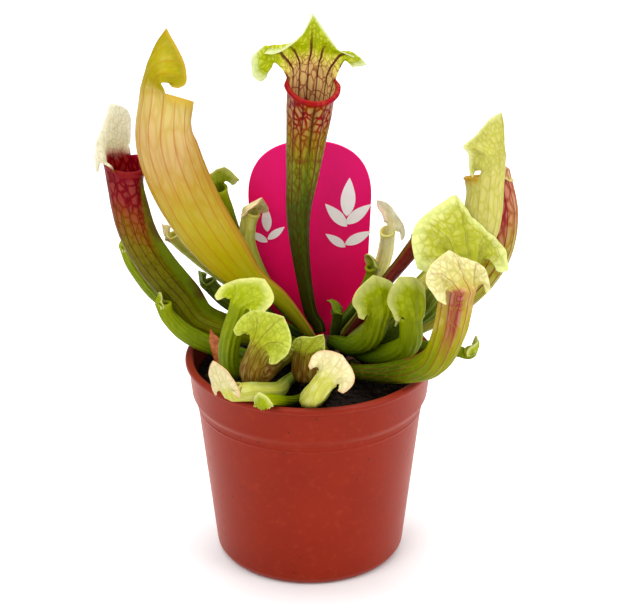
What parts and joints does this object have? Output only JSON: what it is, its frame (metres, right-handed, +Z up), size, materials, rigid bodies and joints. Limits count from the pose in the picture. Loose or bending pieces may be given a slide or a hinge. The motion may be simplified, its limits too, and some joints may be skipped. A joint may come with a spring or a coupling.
{
  "type": "potted pitcher plant",
  "caption": "Trumpet pitcher plant with hollow hooded leaves in a round plastic nursery pot of soil with a plastic plant tag.",
  "frame": {"origin": "centre of the pot's underside, on the plane it stands on", "axes": "+Z up, -Y towards the viewer of the plant's front with the tag at the back, +X to that viewer's right"},
  "size_m": [0.1502, 0.0956, 0.2007],
  "materials": {
    "pot": "moulded plastic with a soft sheen",
    "soil": "damp, loose, matt",
    "crown": "rough, scaly",
    "tag": "printed sheet with a satin face",
    "dry": "dry and papery",
    "leaf_lime": "waxy, thin, lets light through",
    "leaf_green": "waxy, thin, lets light through",
    "leaf_olive": "waxy, thin, lets light through",
    "leaf_gold": "waxy, thin, lets light through",
    "leaf_cream": "waxy, thin, lets light through",
    "leaf_red": "waxy, thin, lets light through",
    "leaf_brown": "waxy, thin, lets light through"
  },
  "bodies": {
    "root": {"pot": "pot", "soil": "soil", "crown": "crown", "tag": "tag", "dead_leaf": "dry", "pitcher_gold_tall": "leaf_gold", "pitcher_red_left": "leaf_red", "pitcher_centre": "leaf_green", "pitcher_pale_right": "leaf_cream", "pitcher_red_right": "leaf_red", "pitcher_green_big": "leaf_lime", "pitcher_cream_pink": "leaf_cream", "pitcher_green_mid_right": "leaf_lime", "pitcher_green_mid_left": "leaf_green", "pitcher_hook_right": "leaf_green", "pitcher_dark_hook": "leaf_olive", "pitcher_lime_left": "leaf_lime", "pitcher_curl_left": "leaf_lime", "pitcher_olive_front": "leaf_olive", "pitcher_cream_front": "leaf_cream", "pitcher_cream_lying": "leaf_cream", "pitcher_tiny_front": "leaf_lime", "pitcher_left_low_back": "leaf_green", "pitcher_left_low_front": "leaf_lime", "pitcher_dark_left": "leaf_olive", "pitcher_open_back": "leaf_green", "pitcher_green_behind": "leaf_lime", "pitcher_cream_behind": "leaf_cream", "pitcher_cream_back_right": "leaf_cream", "pitcher_olive_back": "leaf_olive", "pitcher_brown_back": "leaf_brown"}
  },
  "joints": []
}
